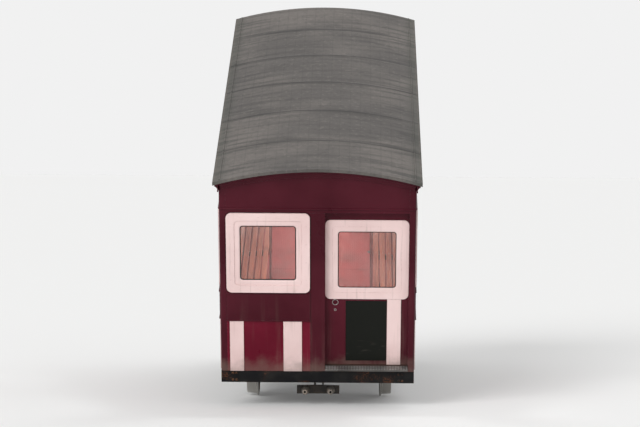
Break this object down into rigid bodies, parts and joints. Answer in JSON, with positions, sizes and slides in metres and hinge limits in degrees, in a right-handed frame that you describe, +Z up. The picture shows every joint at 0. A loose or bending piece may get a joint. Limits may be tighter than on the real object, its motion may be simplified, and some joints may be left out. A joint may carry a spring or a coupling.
{
  "type": "funicular railway car",
  "caption": "Funicular railway car with a level panelled cabin on a wedge-shaped underframe, flanged wheelsets and sliding end doors.",
  "frame": {"origin": "on the plane of the rail heads, midway between the rails and midway between the axles, where the car seats on its inclined track", "axes": "+Z up with the cabin floor level, +Y along the car towards its downhill end, so the uphill end faces -Y and the rail plane falls 21 degrees towards +Y; +X is to the right when the uphill end is looked at"},
  "size_m": [2.22, 5.45, 4.4637],
  "materials": {
    "black_paint": "satin",
    "bright_steel": "satin",
    "cast_iron": "greasy",
    "clear_glass": "clear",
    "cream_paint": "gloss",
    "crimson_paint": "gloss",
    "dark_crimson_paint": "gloss",
    "floor_covering": "worn",
    "lamp_white": "satin",
    "near_black_panel": "satin",
    "pad_rubber": "matt",
    "rolled_steel": "worn",
    "roof_paint": "matt",
    "slat_wood": "varnished"
  },
  "bodies": {
    "car": {"axleboxes": "cast_iron", "bench_frames": "cast_iron", "bench_slats": "slat_wood", "body_posts": "dark_crimson_paint", "brake_rigging": "black_paint", "brake_slippers": "cast_iron", "buffer_pads": "pad_rubber", "buffers": "cast_iron", "ceiling_lamps": "lamp_white", "cross_members": "black_paint", "door_sills": "bright_steel", "door_tracks": "bright_steel", "draw_bars": "rolled_steel", "draw_beam": "cast_iron", "draw_hangers": "black_paint", "end_headers": "dark_crimson_paint", "end_panels_lower": "crimson_paint", "end_panels_upper": "dark_crimson_paint", "floor": "floor_covering", "floor_bearers": "black_paint", "frame_braces": "black_paint", "frame_gussets": "black_paint", "frame_posts": "black_paint", "grab_poles": "bright_steel", "headstocks": "black_paint", "panel_strips": "cream_paint", "rail_girders": "black_paint", "roof": "roof_paint", "roof_cornice": "dark_crimson_paint", "rope_sockets": "rolled_steel", "side_panels_lower": "crimson_paint", "side_panels_upper": "crimson_paint", "sole_bars": "black_paint", "waist_bands": "dark_crimson_paint", "window_frames": "cream_paint", "window_glass": "clear_glass"},
    "wheelset_uphill": {"axle_uphill": "rolled_steel", "wheels_uphill": "rolled_steel"},
    "wheelset_downhill": {"axle_downhill": "rolled_steel", "wheels_downhill": "rolled_steel"},
    "door_uphill": {"door_fittings_uphill": "bright_steel", "door_frame_uphill": "cream_paint", "door_glass_uphill": "clear_glass", "door_leaf_uphill": "dark_crimson_paint", "door_panel_uphill": "near_black_panel"},
    "door_downhill": {"door_fittings_downhill": "bright_steel", "door_frame_downhill": "cream_paint", "door_glass_downhill": "clear_glass", "door_leaf_downhill": "dark_crimson_paint", "door_panel_downhill": "near_black_panel"}
  },
  "joints": [
    {"name": "wheelset_uphill_spin", "type": "hinge", "parent": "car", "child": "wheelset_uphill", "pos_m": [0, -1.54417, 0.86054], "axis": [1, 0, 0], "continuous": true},
    {"name": "wheelset_downhill_spin", "type": "hinge", "parent": "car", "child": "wheelset_downhill", "pos_m": [0, 1.72336, -0.39375], "axis": [1, 0, 0], "continuous": true},
    {"name": "door_uphill_slide", "type": "slide", "parent": "car", "child": "door_uphill", "axis": [-1, 0, 0], "range_m": [0, 0.87]},
    {"name": "door_downhill_slide", "type": "slide", "parent": "car", "child": "door_downhill", "axis": [1, 0, 0], "range_m": [0, 0.87]}
  ]
}
